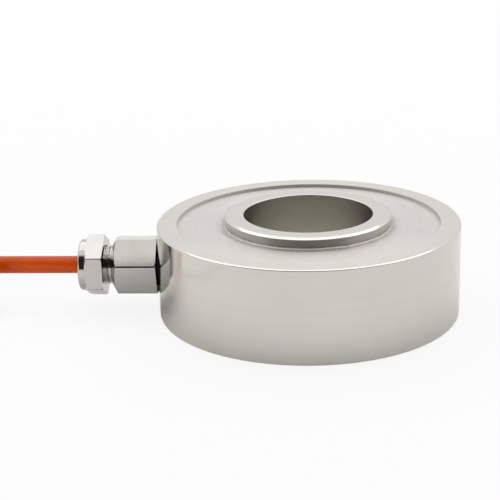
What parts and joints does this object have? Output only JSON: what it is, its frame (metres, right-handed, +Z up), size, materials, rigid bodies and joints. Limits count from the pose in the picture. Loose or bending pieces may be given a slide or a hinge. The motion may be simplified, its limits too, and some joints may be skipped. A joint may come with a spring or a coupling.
{
  "type": "ring load cell",
  "caption": "Low ring-shaped compression load cell with a raised inner load ring round a through hole, a welded cover, a side cable gland and a coiled lead.",
  "frame": {"origin": "centre of the through hole in the base face", "axes": "+Z up along the load axis, from the base face to the load face; the cable gland points along -X"},
  "size_m": [0.196, 0.1096, 0.0284],
  "materials": {
    "stainless_body": "fine turned satin",
    "stainless_cover": "matt blasted",
    "gland_metal": "nickel plated, smooth",
    "cable_jacket": "satin orange jacket",
    "seal_rubber": "matt",
    "washer_nylon": "natural nylon",
    "tie_nylon": "black nylon",
    "shrink_sleeve": "shrunk polyolefin",
    "gauge_foil": "amber film over foil",
    "board_laminate": "solder resist",
    "chip_ceramic": "ceramic",
    "tinned_copper": "tinned",
    "insulation_red": "satin",
    "insulation_black": "satin",
    "insulation_green": "satin",
    "insulation_white": "satin",
    "shield_braid": "tinned braid"
  },
  "bodies": {
    "root": {"cell_body": "stainless_body", "top_cover_ring": "stainless_cover", "axial_strain_gauges": "gauge_foil", "hoop_strain_gauges": "gauge_foil", "gauge_leads": "tinned_copper", "bridge_board": "board_laminate", "trim_resistors": "chip_ceramic", "solder_posts": "tinned_copper", "inner_core_red": "insulation_red", "inner_core_black": "insulation_black", "inner_core_green": "insulation_green", "inner_core_white": "insulation_white", "inner_core_shield": "shield_braid", "gland_body": "gland_metal", "gland_o_ring": "seal_rubber", "seal_insert": "seal_rubber", "thrust_washer": "washer_nylon", "compression_nut": "gland_metal", "cable_in_gland": "cable_jacket", "cable_run": "cable_jacket", "cable_coil": "cable_jacket", "coil_tie_1": "tie_nylon", "coil_tie_2": "tie_nylon", "end_sleeve": "shrink_sleeve", "lead_red": "insulation_red", "lead_black": "insulation_black", "lead_green": "insulation_green", "lead_white": "insulation_white", "lead_shield": "shield_braid", "tinned_tips": "tinned_copper"}
  },
  "joints": []
}
